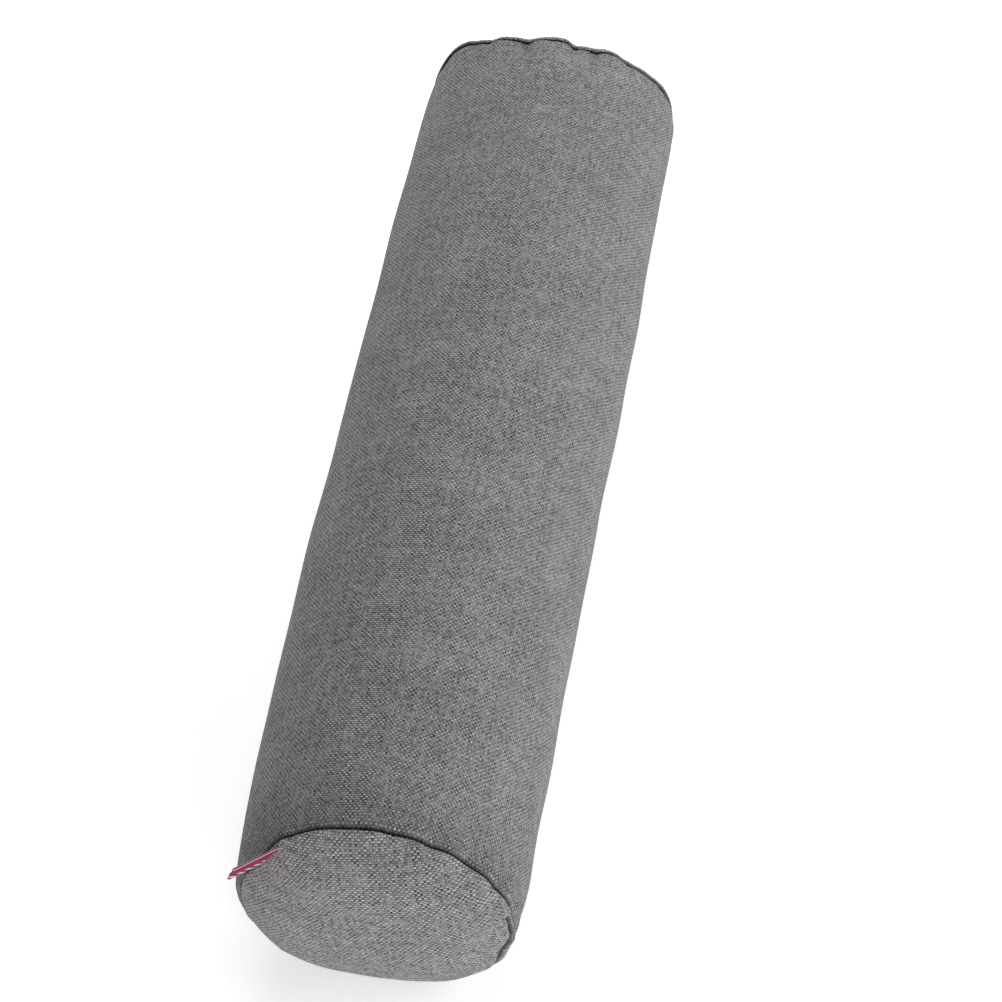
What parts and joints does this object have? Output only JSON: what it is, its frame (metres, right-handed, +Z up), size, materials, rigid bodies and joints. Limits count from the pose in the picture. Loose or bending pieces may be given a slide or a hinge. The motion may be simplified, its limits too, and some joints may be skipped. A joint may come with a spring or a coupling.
{
  "type": "bolster cushion",
  "caption": "Round bolster cushion lying on its side: a filled cloth tube closed by domed round end panels, with a folded ribbon tab in one end seam.",
  "frame": {"origin": "middle of the flat spot on the underside that the bolster rests on, halfway between its two end seams", "axes": "+Y along the bolster from the front end, which has the ribbon tab, to the back end; +Z up, away from the surface that it rests on; +X to the right when looking along +Y"},
  "size_m": [0.1521, 0.6081, 0.1469],
  "materials": {
    "tube_cloth": "mid grey melange plain weave, matt, like coarse linen",
    "panel_cloth": "the same mid grey melange plain weave, matt",
    "ribbon": "raspberry woven ribbon, slightly lustrous, with pale woven edges"
  },
  "bodies": {
    "root": {"bolster_body": "tube_cloth", "end_panel_front": "panel_cloth", "end_panel_back": "panel_cloth", "side_tab": "ribbon"}
  },
  "joints": []
}
